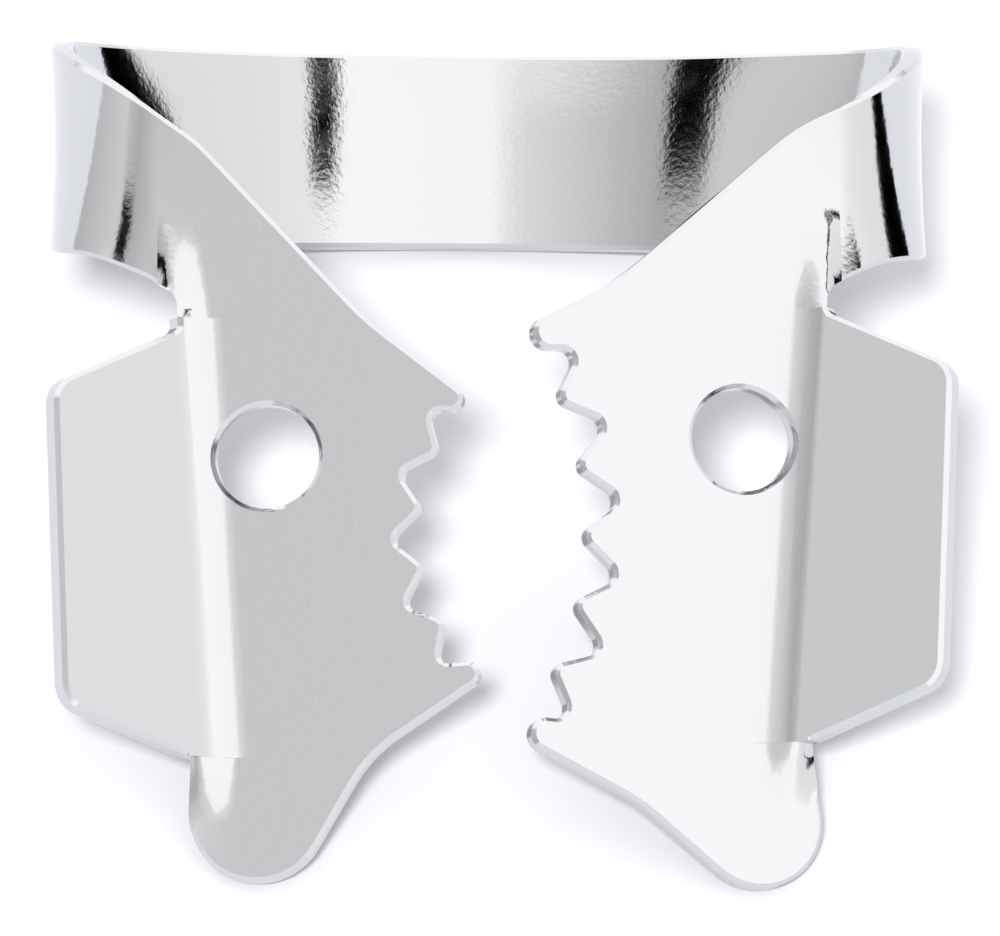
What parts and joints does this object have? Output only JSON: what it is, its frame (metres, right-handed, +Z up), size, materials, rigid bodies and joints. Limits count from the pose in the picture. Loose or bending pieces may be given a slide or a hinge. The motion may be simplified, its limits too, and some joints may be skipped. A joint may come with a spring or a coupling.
{
  "type": "rubber dam clamp",
  "caption": "Winged dental dam clamp folded from one strip of spring steel, with serrated jaws that grip a tooth, forceps holes, side wings and a spring bow that joins the arms.",
  "frame": {"origin": "middle of the box at the surface that the clamp lies on", "axes": "+Z up, +X across the clamp from one jaw to the other, +Y from the lobes to the bow"},
  "size_m": [0.026, 0.0298, 0.012],
  "materials": {
    "steel": "bright tumbled spring steel with a fine grain and rounded cut edges"
  },
  "bodies": {
    "root": {"clamp": "steel"}
  },
  "joints": []
}
